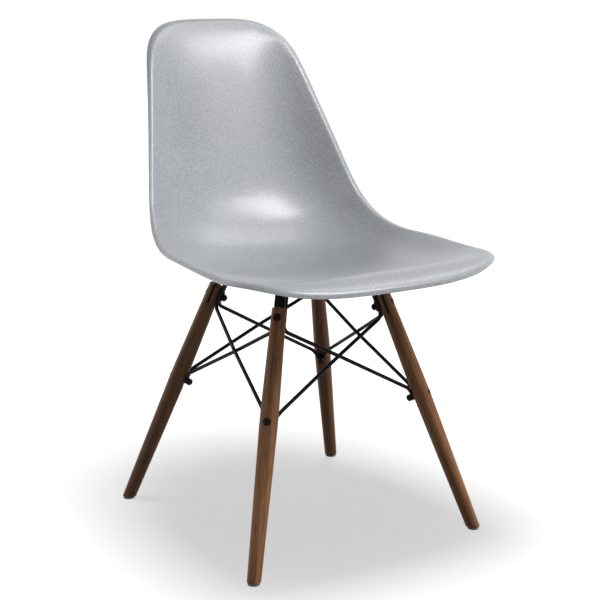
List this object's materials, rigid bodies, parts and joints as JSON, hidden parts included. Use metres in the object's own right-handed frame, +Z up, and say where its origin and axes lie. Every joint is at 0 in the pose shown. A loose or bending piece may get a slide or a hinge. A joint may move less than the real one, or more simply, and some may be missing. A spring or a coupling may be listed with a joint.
{
  "type": "dining chair",
  "caption": "Armless dining chair: a one-piece moulded plastic shell on splayed tapered wooden legs, braced by crossing steel rods.",
  "frame": {"origin": "on the floor, under the middle of the chair's overall box", "axes": "+Z up, the sitter faces -Y, the sitter's left is +X"},
  "size_m": [0.4812, 0.5533, 0.8013],
  "materials": {
    "shell_plastic": "satin, finely speckled",
    "mount_rubber": "matte",
    "leg_wood": "oiled walnut",
    "glide_plastic": "matte",
    "rod_steel": "satin black",
    "bracket_steel": "satin black",
    "fastener_steel": "black oxide"
  },
  "bodies": {
    "root": {"front_brace_rising_left": "rod_steel", "front_brace_rising_right": "rod_steel", "front_left_foot_glide": "glide_plastic", "front_left_leg": "leg_wood", "front_left_leg_bracket": "bracket_steel", "front_left_shock_mount": "mount_rubber", "front_right_foot_glide": "glide_plastic", "front_right_leg": "leg_wood", "front_right_leg_bracket": "bracket_steel", "front_right_shock_mount": "mount_rubber", "left_brace_rising_front": "rod_steel", "left_brace_rising_rear": "rod_steel", "lower_leg_bolts": "fastener_steel", "lower_leg_nuts": "fastener_steel", "lower_leg_washers": "fastener_steel", "mount_bushes": "fastener_steel", "rear_brace_rising_left": "rod_steel", "rear_brace_rising_right": "rod_steel", "rear_left_foot_glide": "glide_plastic", "rear_left_leg": "leg_wood", "rear_left_leg_bracket": "bracket_steel", "rear_left_shock_mount": "mount_rubber", "rear_right_foot_glide": "glide_plastic", "rear_right_leg": "leg_wood", "rear_right_leg_bracket": "bracket_steel", "rear_right_shock_mount": "mount_rubber", "right_brace_rising_front": "rod_steel", "right_brace_rising_rear": "rod_steel", "seat_screw_washers": "fastener_steel", "seat_screws": "fastener_steel", "seat_shell": "shell_plastic", "upper_leg_bolts": "fastener_steel", "upper_leg_nuts": "fastener_steel", "upper_leg_washers": "fastener_steel"}
  },
  "joints": []
}
